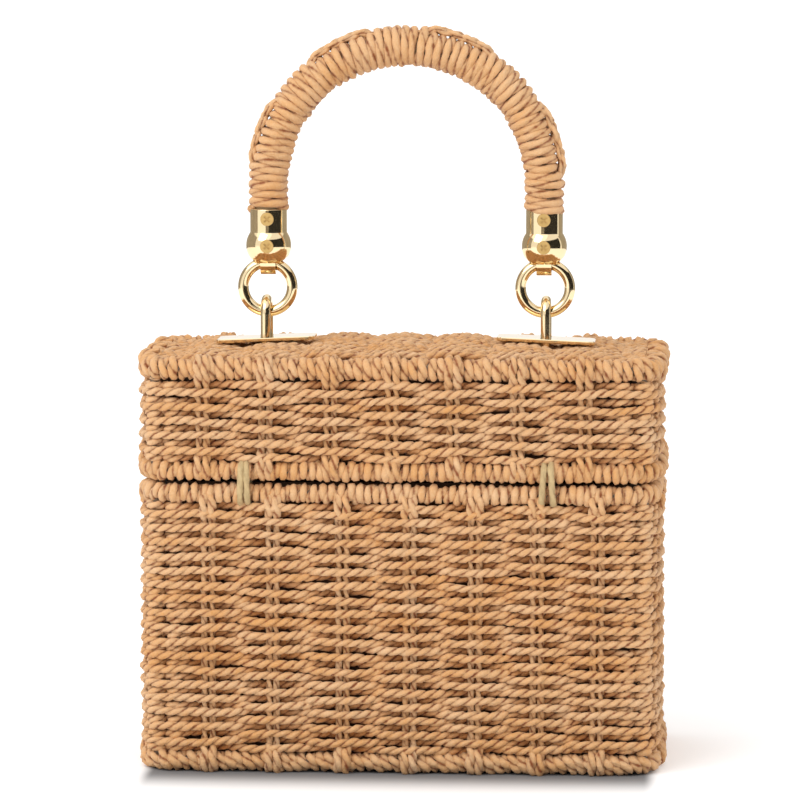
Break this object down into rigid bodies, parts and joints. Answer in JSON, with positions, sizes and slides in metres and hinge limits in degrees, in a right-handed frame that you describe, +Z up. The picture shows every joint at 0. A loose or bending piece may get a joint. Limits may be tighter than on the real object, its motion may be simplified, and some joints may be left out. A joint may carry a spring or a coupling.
{
  "type": "woven box bag",
  "caption": "Small rectangular box bag woven from paper cord, with rope-bound rims, a hinged crowned lid and an arched wrapped handle on plated rings.",
  "frame": {"origin": "middle of the basket's underside, on the surface it stands on", "axes": "+Z up, +X along the width, the hinge side with the cord ties faces -Y, the opening side faces +Y"},
  "size_m": [0.205, 0.1078, 0.2914],
  "materials": {
    "paper_cord": "matt twisted paper cord",
    "tie_cord": "smooth waxed cord",
    "lining": "plain brown cloth",
    "cane": "bare",
    "gilt": "polished pale gold plating",
    "frame_wire": "bare wire",
    "magnet": "nickel plated"
  },
  "bodies": {
    "basket": {"body_weave": "paper_cord", "body_frame": "frame_wire", "body_bottom_rim": "paper_cord", "body_top_rim": "paper_cord", "body_lining": "lining", "body_catch_tab": "lining", "body_magnet": "magnet", "hinge_tie_left": "tie_cord", "hinge_tie_right": "tie_cord"},
    "lid": {"lid_weave": "paper_cord", "lid_frame": "frame_wire", "lid_bottom_rim": "paper_cord", "lid_top_rim": "paper_cord", "lid_lining": "lining", "lid_catch_tab": "lining", "lid_magnet": "magnet", "top_plate_left": "gilt", "top_plate_right": "gilt", "backing_plate_left": "gilt", "backing_plate_right": "gilt", "staple_left": "gilt", "staple_right": "gilt"},
    "left_ring": {"ring_left": "gilt"},
    "right_ring": {"ring_right": "gilt"},
    "handle": {"handle_core": "cane", "handle_wrap": "paper_cord", "handle_braid": "paper_cord", "ferrule_left": "gilt", "ferrule_right": "gilt", "ferrule_screw_left_upper": "gilt", "ferrule_screw_left_lower": "gilt", "ferrule_screw_right_upper": "gilt", "ferrule_screw_right_lower": "gilt"}
  },
  "joints": [
    {"name": "lid_hinge", "type": "hinge", "parent": "basket", "child": "lid", "pos_m": [0, -0.051, 0.11405], "axis": [1, 0, 0], "range_deg": [0, 105], "deforming": ["hinge_tie_left", "hinge_tie_right"]},
    {"name": "left_ring_swing", "type": "hinge", "parent": "lid", "child": "left_ring", "pos_m": [-0.0552, 0, 0.17673], "axis": [1, 0, 0], "range_deg": [-50, 50]},
    {"name": "right_ring_swing", "type": "hinge", "parent": "lid", "child": "right_ring", "pos_m": [0.0552, 0, 0.17673], "axis": [1, 0, 0], "range_deg": [-50, 50]},
    {"name": "handle_swing", "type": "hinge", "parent": "left_ring", "child": "handle", "pos_m": [-0.0548, 0, 0.19623], "axis": [1, 0, 0], "range_deg": [-55, 55]}
  ],
  "couplings": [
    {"joint": "right_ring_swing", "follows": "left_ring_swing", "ratio": 1}
  ]
}
